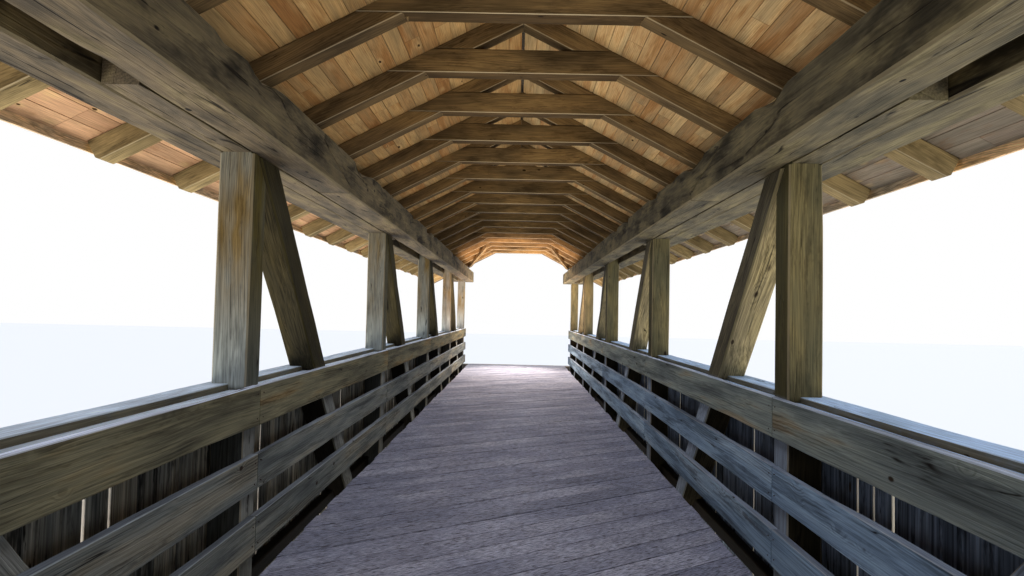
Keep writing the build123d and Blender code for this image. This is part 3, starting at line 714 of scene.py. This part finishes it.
# parapet boards
# the rails' tops take the paler colour: painted light from above
railShape = {"arrisMm": 5, "unevenMm": 6, "waneMm": 10, "stepM": 0.2, "sideWeatherAndLightWay": "up"}
bothSides("topRail", "top_rail", (weatherRail, rightRailSkyLit), railShape, seed=43)
bothSides("middleRail", "middle_rail", (weatherLowRail, rightLowRailSkyLit), railShape, seed=47)
bothSides("lowRail", "low_rail", (weatherLowRail, rightLowRailSkyLit), railShape, seed=53)

# the cap: a ledge level with the top rail, and a higher board outside it
capShape = {
    "arrisMm": 5,
    "stepM": 0.2,
    "ledgeFrom": 1.516,     # m from the middle of the walkway
    "boardFrom": 1.61,
    "openM": 0.001,         # joint between the two
    "ledgeDropMm": 33,
}


def dressCap(side, finish, changes, seed):
    s = dict(timberShape, **changes)
    sign = 1 if side == "right" else -1
    draw = random.Random(seed)
    heap = newHeap()
    for low, high in boxesOf("parapet_cap_" + side):
        outside = max(abs(low.x), abs(high.x))
        ledgeTop = high.z - s["ledgeDropMm"] / 1000
        for inner, outer, top in ((s["ledgeFrom"], s["boardFrom"] - s["openM"], ledgeTop),
                                  (s["boardFrom"], outside, high.z)):
            board = bmesh.new()
            bmesh.ops.create_cube(board, size=1.0)
            left, right = sorted((sign * inner, sign * outer))
            for vert in board.verts:
                vert.co = Vector((left if vert.co.x < 0 else right, low.y if vert.co.y < 0 else high.y,
                                  low.z if vert.co.z < 0 else top))
            board.normal_update()
            dressTimber(heap, board, s, draw)
            board.free()
    makePiece("cap." + side, heap, finish, "parapet_cap_" + side)


dressCap("left", weatherCap, capShape, 59)
dressCap("right", leeCap, dict(capShape, boardFrom=1.58), 109)
bothSides("girts", "girts", dampSpruce, {"stepM": 0.6}, seed=61)
print("parapet made")

# four nails hold the end of each rail board at a post
railNails = {
    "sides": 10,
    "headMm": 4.5,       # radius
    "proudMm": 2.0,
    "neckMm": 2.2,       # radius
    "depthMm": 16,
    "fromEdgeMm": 48,
    "fromJointMm": 42,
    "strayMm": 7,
}


def nailFinish(gritMm=3.03):
    # Forged steel nails, rusted: matt brown, redder where the rust has bloomed. Its grains are drawn many
    # times their real size, so that they show.
    material, add = startMaterial("rustedSteelNails")
    place = add("TexCoord").outputs["Object"]
    grit = add("TexNoise", {"Vector": place, "Scale": 1000 / gritMm, "Detail": 2.0})
    rust = add("Mix", {0: grit, 6: hexColour("1d1612"), 7: hexColour("4a3020")}, data_type="RGBA")
    bump = add("Bump", {"Strength": 0.5, "Distance": 0.0004, "Height": grit})
    surface = add("BsdfPrincipled", {"Base Color": rust.outputs[2], "Metallic": 0.4, "Roughness": 0.75,
                                     "Normal": bump})
    add("OutputMaterial", {0: surface})
    return material


def addNail(heap, start, outward, s):
    # a turned nail: its profile is a radius and how far out of the wood that ring lies
    head, proud, neck, depth = (s[key] / 1000 for key in ("headMm", "proudMm", "neckMm", "depthMm"))
    profile = [(neck, -depth), (neck, 0.0), (head, 0.0), (head * 0.95, proud * 0.5),
               (head * 0.6, proud * 0.9)]
    first, sides = len(heap["points"]), s["sides"]
    for radius, out in profile:
        for turn in (2 * math.pi * i / sides for i in range(sides)):
            heap["points"].append(start + Vector((outward * out, radius * math.cos(turn),
                                                  radius * math.sin(turn))))
    last = first + (len(profile) - 1) * sides
    faces = [[first + i for i in range(sides)], [last + i for i in reversed(range(sides))]]
    for a in range(first, last, sides):
        b = a + sides
        faces += [[a + i, b + i, b + (i + 1) % sides, a + (i + 1) % sides] for i in range(sides)]
    heap["faces"] += faces if outward < 0 else [face[::-1] for face in faces]


def nailRails(side, finish, s, seed):
    draw = random.Random(seed)
    heap = newHeap()
    edge, joint, stray, head = (s[key] / 1000 for key in ("fromEdgeMm", "fromJointMm", "strayMm", "headMm"))
    posts = [(low.y + high.y) / 2 for low, high in boxesOf("posts_" + side)]
    for rail in ("top_rail_", "middle_rail_", "low_rail_"):
        low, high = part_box(rail + side)
        outward, inner = (-1, low.x) if side == "right" else (1, high.x)
        for post in posts:
            for along in (-joint, joint):
                for height in (low.z + edge, high.z - edge):
                    y = post + along + draw.uniform(-stray, stray)
                    z = height + draw.uniform(-stray, stray)
                    if low.y + head < y < high.y - head:
                        addNail(heap, Vector((inner, y, z)), outward, s)
    heap["grain"] = heap["points"]
    makePiece("railNails." + side, heap, finish)


rustedSteel = nailFinish()
nailRails("left", rustedSteel, railNails, 151)
nailRails("right", rustedSteel, railNails, 157)
print("rails nailed")

# roof frames
# only the lower arrises of rafters and collars are pale: a painted highlight of light from below
frameShape = {"arrisMm": 6, "waneMm": 8, "waneLowMm": 4, "stepM": 0.35, "sideWeatherAndLightWay": "down",
              "paleArris": "down"}
bothSides("rafter", "rafters", rafterSpruce, frameShape, seed=67)
dressNode("collars", "collar_ties", collarSpruce, frameShape, seed=71)
dressNode("windBraces", "wind_braces", rafterSpruce, {"arrisMm": 6}, seed=73)
dressNode("ridgeBoards", "ridge_boards", trimSpruce,
          {"arrisMm": 4, "waneMm": 2, "stepM": 0.6}, seed=79)
dressNode("bargeBoards", "barge_boards", trimSpruce, {"arrisMm": 4, "waneMm": 2}, seed=83)
# the eave strip's pale colour is a painted light
bothSides("eaveStrip", "eave_strip", eaveStripPaintedLight,
          {"arrisMm": 3, "waneMm": 1, "stepM": 0.6}, seed=89)
print("roof frames made")


# deck planks, laid askew, with ragged ends
deckPlanks = {
    "skew": 34.0,          # degrees from square across
    "width": (0.215, 0.24),
    "jointMm": (0.5, 1.5),
    "openMm": (3, 7),
    "openShare": 0.25,
    "raggedMm": 26,
    "unevenMm": 2.5,
    "edgePoints": 14,      # along each long edge
    "chamferMm": 3,
    "sinkMm": 4,           # how much lower a plank's top may lie
}


def layDeck(s, seed):
    low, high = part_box("deck")
    draw = random.Random(seed)
    heap = newHeap()
    skew = math.radians(s["skew"])
    slant = math.tan(skew)
    fibre = Vector((math.cos(skew), math.sin(skew)))
    reach = high.x * slant
    at = low.y - reach
    while at < high.y + reach:
        width = draw.uniform(*s["width"]) / fibre.x
        joint = jointWidth(s, draw)
        left = low.x + draw.uniform(0, s["raggedMm"]) / 1000
        right = high.x - draw.uniform(0, s["raggedMm"]) / 1000
        xs = [left + (right - left) * i / (s["edgePoints"] - 1) for i in range(s["edgePoints"])]
        near = [Vector((x, at + x * slant + draw.uniform(0, s["unevenMm"]) / 1000)) for x in xs]
        far = [Vector((x, at + width - joint + x * slant - draw.uniform(0, s["unevenMm"]) / 1000))
               for x in reversed(xs)]
        outline = clipOutline(near + far, low.y, high.y)
        if len(outline) > 2:
            top = high.z - draw.uniform(0, s["sinkMm"]) / 1000
            spot = (Vector(), axisX, axisY, axisZ)
            addBoard(heap, outline, low.z, top, s["chamferMm"] / 1000, spot, draw, fibre)
        at += width
    makePiece("deckPlanks", heap, deckLarch, "deck")


layDeck(deckPlanks, 101)
print("deck laid")


# upright boards outside the trusses, with narrow joints that let light through here and there
wallBoards = {
    "width": (0.15, 0.21),
    "leastM": 0.05,         # no narrower board at the end
    "jointMm": (1, 4),
    "openMm": (10, 17),
    "openShare": 0.34,
    "stepM": 0.4,           # spacing of the points along an edge
    "unevenMm": 2,
    "chamferMm": 2.5,
    "dropMm": 18,
}


def cladSide(side, finish, s, seed):
    node = "cladding_" + side
    low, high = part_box(node)
    draw = random.Random(seed)
    heap = newHeap()
    inner, outward = (low.x, axisX) if side == "right" else (high.x, -axisX)
    at = low.y
    joint = 0.0
    while at < high.y - s["leastM"]:
        width = min(draw.uniform(*s["width"]), high.y - at)
        litEdge = joint > s["jointMm"][1] / 1000
        joint = jointWidth(s, draw)
        foot = low.z + draw.uniform(0, s["dropMm"]) / 1000
        outline = boardOutline(foot, high.z, at, at + width - joint, s["stepM"], s["unevenMm"] / 1000, draw)
        if side == "right":
            outline = outline[:1] + outline[:0:-1]
        spot = (Vector((inner, 0, 0)), axisZ, axisY, outward)
        addBoard(heap, outline, 0.0, high.x - low.x, s["chamferMm"] / 1000, spot, draw, litEdge=litEdge)
        at += width
    makePiece("wallBoards." + side, heap, finish, node)


cladSide("left", weatherWall, wallBoards, 103)
cladSide("right", leeWall, wallBoards, 107)
print("walls clad")


# roof boarding: boards along the bridge on the rafters
roofBoards = {
    "width": (0.109, 0.115),
    "leastWidth": 0.06,       # a narrower rest is added to the last board
    "lengths": (5, 6, 7),     # in rafter spacings
    "spacing": 0.95,
    "leastLength": 1.0,
    "buttMm": 1,              # from a board's end to its rafter's middle
    "jointMm": (0.6, 1.8),
    "chamferMm": 1.1,
    "stepM": 1.0,             # spacing of the points along an edge
    "unevenMm": 1,
    "restM": 0.01,            # a smaller rest is left bare
}


def roofPlane(side):
    # the boards' underside: where it meets the ridge, the ways down the slope and up from it, its length
    corners = [v.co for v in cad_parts["roof_boards_" + side].data.vertices]
    eave = min(corners, key=lambda p: (round(p.z, 4), -abs(p.x)))
    ridge = min((p for p in corners if abs(p.x) < samePlace), key=lambda p: p.z)
    down = Vector((eave.x, 0, eave.z - ridge.z))
    length = down.length
    down.normalize()
    up = Vector((-down.z * math.copysign(1, eave.x), 0, abs(down.x))).normalized()
    return Vector((0, 0, ridge.z)), down, up, length


def boardRoof(side, finish, s, seed):
    node = "roof_boards_" + side
    low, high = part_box(node)
    origin, down, up, length = roofPlane(side)
    thickness = max(v.co.dot(up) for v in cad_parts[node].data.vertices) - origin.dot(up)
    uneven, butt = s["unevenMm"] / 1000, s["buttMm"] / 1000
    draw = random.Random(seed)
    heap = newHeap()
    # the ridge cut is plumb, so the top board's upper edge is trimmed back under its neighbour
    at = thickness * abs(down.z) / abs(down.x)
    while at < length - s["restM"]:
        width = draw.uniform(*s["width"])
        if at + width > length - s["leastWidth"]:
            width = length - at
        joint = draw.uniform(*s["jointMm"]) / 1000
        start = low.y
        while start < high.y - s["restM"]:
            end = start + draw.choice(s["lengths"]) * s["spacing"]
            if end > high.y - s["leastLength"]:
                end = high.y
            outline = boardOutline(start + butt, end - butt, at, at + width - joint, s["stepM"], uneven, draw)
            if side == "right":
                outline.reverse()
            top = thickness - draw.uniform(0, uneven)
            addBoard(heap, outline, 0.0, top, s["chamferMm"] / 1000, (origin, axisY, down, up), draw)
            start = end
        at += width
    makePiece("roofBoards." + side, heap, finish, node)


boardRoof("left", weatherBoard, roofBoards, 109)
boardRoof("right", leeBoard, roofBoards, 113)
print("roof boarded")


# split shingles in overlapping courses
shingles = {
    "course": 0.165,
    "length": 0.42,
    "width": (0.08, 0.17),
    "leastM": 0.02,         # no narrower shingle at a verge
    "gapMm": (2, 5),
    "thickMm": (10, 15),
    "headMm": 6,            # thickness at the hidden end
    "headLiftMm": 8,        # height of that end over the boards
    "unevenMm": 4,          # in height
    "raggedMm": 14,
    "eaveBackMm": 3,
    "ridgeBackMm": 4,
    "leastShowM": 0.05,     # no course that shows less below the ridge
    "startM": 0.1,          # how far before the verge a course may begin
    "heartM": 0.1,          # how far off the heart of the tree a shingle was split
    "offRidgeM": 0.5,       # farther from the middle the roof is away from its ridge
}


def shingleRoof(side, s, seed):
    node = "roof_shingles_" + side
    low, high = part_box(node)
    corners = [v.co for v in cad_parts[node].data.vertices]
    down, up = roofPlane(side)[1:3]
    base = min(v.dot(up) for v in corners if abs(v.x) > s["offRidgeM"])
    top = max(v.dot(up) for v in corners)
    depth = top - base
    reach = max(v.dot(down) for v in corners if v.dot(up) < base + samePlace)
    draw = random.Random(seed)
    heap = newHeap()
    ridgeStart = min(v.dot(down) for v in corners if v.dot(up) > top - samePlace) + s["ridgeBackMm"] / 1000
    butt = reach - s["eaveBackMm"] / 1000 - depth * abs(down.z) / abs(down.x)
    while butt > ridgeStart + s["leastShowM"]:
        y = low.y - draw.uniform(0, s["startM"])
        while y < high.y:
            width = draw.uniform(*s["width"])
            start, stop = max(low.y, y), min(high.y, y + width - draw.uniform(*s["gapMm"]) / 1000)
            y += width
            if stop - start <= s["leastM"]:
                continue
            thick = draw.uniform(*s["thickMm"]) / 1000
            end = butt - draw.uniform(0, s["raggedMm"]) / 1000
            head = max(ridgeStart, end - s["length"])
            lift = depth - draw.uniform(0, s["unevenMm"]) / 1000
            headTop = lift - (lift - s["headLiftMm"] / 1000) * (end - head) / s["length"]
            headLow = max(0.0, headTop - s["headMm"] / 1000)
            tone = draw.random()
            shift = grainShift(draw, s["heartM"], s["heartM"])
            first = len(heap["points"])
            for along, levels in ((head, (headLow, headTop)), (end, (lift - thick, lift))):
                for across in (start, stop):
                    for level in levels:
                        heap["points"].append(up * (base + level) + down * along + axisY * across)
                        heap["grain"].append(Vector((along, across, level)) + shift)
            quads = [(0, 1, 3, 2), (4, 6, 7, 5), (0, 4, 5, 1), (2, 3, 7, 6), (1, 5, 7, 3), (0, 2, 6, 4)]
            for quad in quads:
                heap["faces"].append([first + i for i in (quad[::-1] if side == "left" else quad)])
            heap["tone"] += [tone] * len(quads)
        butt -= s["course"]
    makePiece("shingles." + side, heap, shingleLarch, node)


shingleRoof("left", shingles, 127)
shingleRoof("right", shingles, 131)
print("roof shingled")


# abutments: coursed stones with rounded edges on a core of mortar
abutmentStones = {
    "course": (0.20, 0.30),
    "leastCourse": 0.12,
    "length": (0.30, 0.62),
    "leastLength": 0.18,
    "jointMm": 14,
    "proudMm": 22,          # how far the stones stand out of the mortar
    "bedMm": 50,            # how deep their bodies go
    "roundMm": 12,
    "roughMm": 7,
    "points": 5,            # along each edge of a stone's face
    "restM": 0.02,          # a smaller rest is left to the mortar
}


def stoneFinish(name, s):
    # Grey limestone, broken with a hammer: rough, mottled, with rusty and pale patches. The lime mortar
    # between is raked out, sandy and paler.
    material, add = startMaterial(name)
    place = add("TexCoord").outputs["Object"]
    tone = add("Attribute", attribute_name="tone").outputs["Fac"]
    patch = add("TexNoise", {"Vector": place, "Scale": 1000 / s["patchMm"], "Detail": 5.0,
                             "Roughness": 0.65})
    grit = add("TexNoise", {"Vector": place, "Scale": 1000 / s["gritMm"], "Detail": 3.0})
    mottled = add("ValToRGB", {0: patch})
    ramp = mottled.color_ramp
    ramp.elements.new(0.5)
    for stop, position, key in zip(ramp.elements, (0.30, 0.5, 0.70), ("dark", "middle", "pale")):
        stop.position, stop.color = position, hexColour(s[key])
    speckle = add("MapRange", {0: grit, 1: 0.3, 2: 0.7, 3: 0.82, 4: 1.12})
    toned = add("Math", {0: tone, 1: 0.5, 2: 0.75}, operation="MULTIPLY_ADD")
    bright = add("Math", {0: speckle, 1: toned}, operation="MULTIPLY")
    colour = add("VectorMath", {0: mottled, 3: bright}, operation="SCALE")
    relief = add("Math", {0: grit, 1: 0.4, 2: patch}, operation="MULTIPLY_ADD")
    bump = add("Bump", {"Strength": 0.9, "Distance": 0.008, "Height": relief})
    surface = add("BsdfPrincipled", {"Base Color": colour, "Roughness": 0.88, "Normal": bump})
    add("OutputMaterial", {0: surface})
    return material


def addStone(heap, corners, outward, s, draw):
    # corners run round the face that shows; the stone's body goes back into the mortar
    first = len(heap["points"])
    centre = sum(corners, Vector()) / 4
    tone = draw.random()
    rows = s["points"]
    shares = [i / (rows - 1) for i in range(rows)]
    for u in shares:
        for v in shares:
            flat = (corners[0] * (1 - u) * (1 - v) + corners[1] * u * (1 - v) + corners[2] * u * v
                    + corners[3] * (1 - u) * v)
            onEdge = u in (0, 1) or v in (0, 1)
            back = s["roundMm"] / 1000 if onEdge else draw.uniform(0, s["roughMm"]) / 1000
            heap["points"].append(flat - outward * back)
    faces = [[a, a + rows, a + rows + 1, a + 1]
             for i in range(rows - 1) for a in range(first + i * rows, first + i * rows + rows - 1)]
    rim = [i * rows for i in range(rows)] + [(rows - 1) * rows + j for j in range(1, rows)]
    rim += [i * rows + rows - 1 for i in range(rows - 2, -1, -1)] + list(range(rows - 2, 0, -1))
    base = len(heap["points"])
    heap["points"] += [heap["points"][first + r] - outward * (s["bedMm"] / 1000) for r in rim]
    count = len(rim)
    faces += [[first + rim[(i + 1) % count], first + rim[i], base + i, base + (i + 1) % count]
              for i in range(count)]
    if (corners[1] - corners[0]).cross(corners[3] - corners[0]).dot(outward) < 0:
        faces = [face[::-1] for face in faces]
    heap["faces"] += faces
    heap["grain"] += [point - centre for point in heap["points"][first:]]
    heap["tone"] += [tone] * len(faces)


def layCourses(heap, origin, wide, tall, outward, width, height, s, draw, batter):
    # a face of the abutment: origin at its lower corner, wide and tall its directions; with a batter each
    # course begins farther in than the one below it
    level = 0.0
    half = s["jointMm"] / 1000 / 2
    while level < height - s["restM"]:
        rise = draw.uniform(*s["course"])
        if level + rise > height - s["leastCourse"]:
            rise = height - level
        at = (level + rise) * batter
        while at < width - s["restM"]:
            length = draw.uniform(*s["length"])
            if at + length > width - s["leastLength"]:
                length = width - at
            a, b = at + half, at + length - half
            c, d = level + half, level + rise - half
            corners = [origin + wide * x + tall * z for x, z in ((a, c), (b, c), (b, d), (a, d))]
            addStone(heap, corners, outward, s, draw)
            at += length
        level += rise


def stoneAbutment(node, end, finish, mortar, s, seed):
    # end is 1 at the far end and -1 at the near one, where what is worked out for the far end is turned round
    side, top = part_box(node)[1].xz
    points = [v.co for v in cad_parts[node].data.vertices]
    back = max(p.y * end for p in points)
    toe = min(p.y * end for p in points)
    seatTop = min(p.z for p in points if p.z > samePlace)
    seatFront = min(p.y * end for p in points if p.z > samePlace)
    wallFace = min(p.y * end for p in points if p.z > top - samePlace)
    draw = random.Random(seed)
    heap = newHeap()
    slope = Vector((0, seatFront - toe, seatTop))
    rise = slope.normalized()
    batter = (seatFront - toe) / seatTop

    # each face: its corner, its directions, the way it looks, its size, its settings and its batter
    outside = axisY * -rise.z + axisZ * rise.y
    faces = [((side, toe, 0), -axisX, rise, outside, 2 * side, slope.length, s, 0.0),
             ((-side, back, 0), axisX, axisZ, axisY, 2 * side, top, s, 0.0)]
    for hand in (1, -1):
        faces += [((hand * side, toe, 0), axisY, axisZ, axisX * hand, back - toe, seatTop, s, batter),
                  ((hand * side, wallFace, seatTop), axisY, axisZ, axisX * hand, back - wallFace,
                   top - seatTop, s, 0.0)]
    # flat bed stones lie on the seat and on the back wall
    beds = dict(s, course=(0.9, 0.95), length=(0.6, 0.9), roughMm=3)
    faces += [((-side, seatFront, seatTop), axisX, axisY, axisZ, 2 * side, wallFace - seatFront, beds, 0.0),
              ((-side, wallFace, top), axisX, axisY, axisZ, 2 * side, back - wallFace, beds, 0.0),
              ((side, wallFace, seatTop), -axisX, axisZ, -axisY, 2 * side, top - seatTop, s, 0.0)]
    for corner, wide, tall, outward, width, height, own, lean in faces:
        layCourses(heap, Vector(corner), wide, tall, outward, width, height, own, draw, lean)
    for point in heap["points"]:
        point.z = max(0.0, point.z)
    if end < 0:
        for key in ("points", "grain"):
            heap[key] = [Vector((-p.x, -p.y, p.z)) for p in heap[key]]
    place = "far" if end > 0 else "near"
    makePiece("stones." + place, heap, finish, node, 40)

    # the mortar core, set back behind the faces of the stones
    inset = s["proudMm"] / 1000
    lean = inset / rise.z
    outline = [(toe + lean, 0.0), (back - inset, 0.0), (back - inset, top - inset),
               (wallFace + inset, top - inset), (wallFace + inset, seatTop - inset),
               (seatFront + lean - inset * batter, seatTop - inset)]
    count = len(outline)
    core = newHeap()
    core["points"] = [Vector((x * end, y * end, z)) for x in (side - inset, inset - side) for y, z in outline]
    core["faces"] = [list(range(count)), [count + i for i in reversed(range(count))]]
    core["faces"] += [[i, count + i, count + (i + 1) % count, (i + 1) % count] for i in range(count)]
    core["grain"] = core["points"]
    core["tone"] = [0.5] * len(core["faces"])
    makePiece("mortar." + place, core, mortar, node)


limestone = stoneFinish("hammeredGreyLimestone", {
    "pale": "b3aea2", "middle": "8f8a7f", "dark": "67635b", "patchMm": 210, "gritMm": 12})
limeMortar = stoneFinish("rakedLimeMortar", {
    "pale": "a59d8d", "middle": "8d8576", "dark": "746d60", "patchMm": 120, "gritMm": 9})
stoneAbutment("far_abutment", 1, limestone, limeMortar, abutmentStones, 137)
stoneAbutment("near_abutment", -1, limestone, limeMortar, abutmentStones, 139)
print("abutments laid")


# floor, backdrop and light
def plainFloor(reach=140):     # m each way
    mesh = bpy.data.meshes.new("studioFloor")
    corners = [(x * reach, y * reach, 0) for x, y in ((-1, -1), (1, -1), (1, 1), (-1, 1))]
    mesh.from_pydata(corners, [], [(0, 1, 2, 3)])
    material, add = startMaterial("paleStudioFloor")
    surface = add("BsdfPrincipled", {"Base Color": hexColour("f1f0ec"), "Roughness": 0.9})
    add("OutputMaterial", {0: surface})
    mesh.materials.append(material)
    linkObject("studioFloor", mesh)


# A white sky, a weak soft sun, and soft boxes that the camera doesn't see: long ones outside the open sides
# and inside under the roof, one behind the camera, and three that stand for the daylight at the far end.
lightSettings = {
    "world": "e6eeff",
    "worldStrength": 1.0,
    "sun": 1.0,
    "sunTurn": (48, 0, 150),
    "sunAngle": 12,
    "boxes": {
        # name: place, where it looks, width and length in m, power in W, colour, spread in degrees
        "lowLeft": ((-5.0, 0, 1.2), (0, 0, 6.0), (3.0, 42), 2050, "fffaf0"),
        "lowRight": ((5.0, 0, 1.2), (0, 0, 6.0), (3.0, 42), 1050, "fffaf0"),
        "upFill": ((0, -3, 3.95), (0, -3, 9), (1.2, 26), 160, "fff1dc"),
        "downFill": ((0, 0, 5.95), (0, 0, 0), (1.2, 37), 270, "d9e5ff"),
        "frontFill": ((0, -7, 4.3), (0, 10, 4.6), (2.2, 1.6), 90, "ffffff"),
        "farSun": ((0, 20.2, 5.7), (0, 15.5, 2.8), (1.4, 1.4), 215, "ffead9", 70),
        "farBounce": ((0, 18.3, 4.0), (0, 17.9, 9), (1.2, 2.4), 200, "fff0e4"),
        "farFrames": ((0, 13.8, 3.7), (0, 18.9, 6.5), (2.0, 0.8), 118, "ffdccb", 80),
    },
}


def softBox(name, place, target, size, power, colour, spread=180):
    data = bpy.data.lights.new(name, "AREA")
    data.shape = "RECTANGLE"
    data.size, data.size_y = size
    data.energy = power
    data.spread = math.radians(spread)
    data.color = hexColour(colour)[:3]
    box = linkObject(name, data)
    away = (Vector(place) - Vector(target)).normalized()
    lengthwise = axisY if abs(away.y) < 0.5 else axisZ
    wide = lengthwise.cross(away).normalized()
    turned = Matrix((wide, away.cross(wide), away)).transposed().to_4x4()
    box.matrix_world = Matrix.Translation(place) @ turned
    box.visible_camera = False
    box.visible_glossy = False


def lightScene(s):
    world = bpy.data.worlds.new("softWhite")
    bpy.context.scene.world = world
    world.use_nodes = True
    world.node_tree.nodes.clear()
    add = partial(addNode, world.node_tree)
    path = add("LightPath")
    seen = path.outputs["Is Camera Ray"]
    for ray in ("Is Glossy Ray", "Is Transmission Ray"):
        seen = add("Math", {0: seen, 1: path.outputs[ray]}, operation="MAXIMUM")
    soft = add("Background", {0: hexColour(s["world"]), 1: s["worldStrength"]})
    white = add("Background", {0: (1, 1, 1, 1), 1: 1.0})
    add("OutputWorld", {0: add("MixShader", {0: seen, 1: soft, 2: white})})
    data = bpy.data.lights.new("softSun", "SUN")
    data.energy = s["sun"]
    data.angle = math.radians(s["sunAngle"])
    linkObject("softSun", data).rotation_euler = [math.radians(turn) for turn in s["sunTurn"]]
    for name, settings in s["boxes"].items():
        softBox(name, *settings)


plainFloor()
lightScene(lightSettings)
bpy.context.scene.view_settings.view_transform = "Standard"
print("floor and light set")
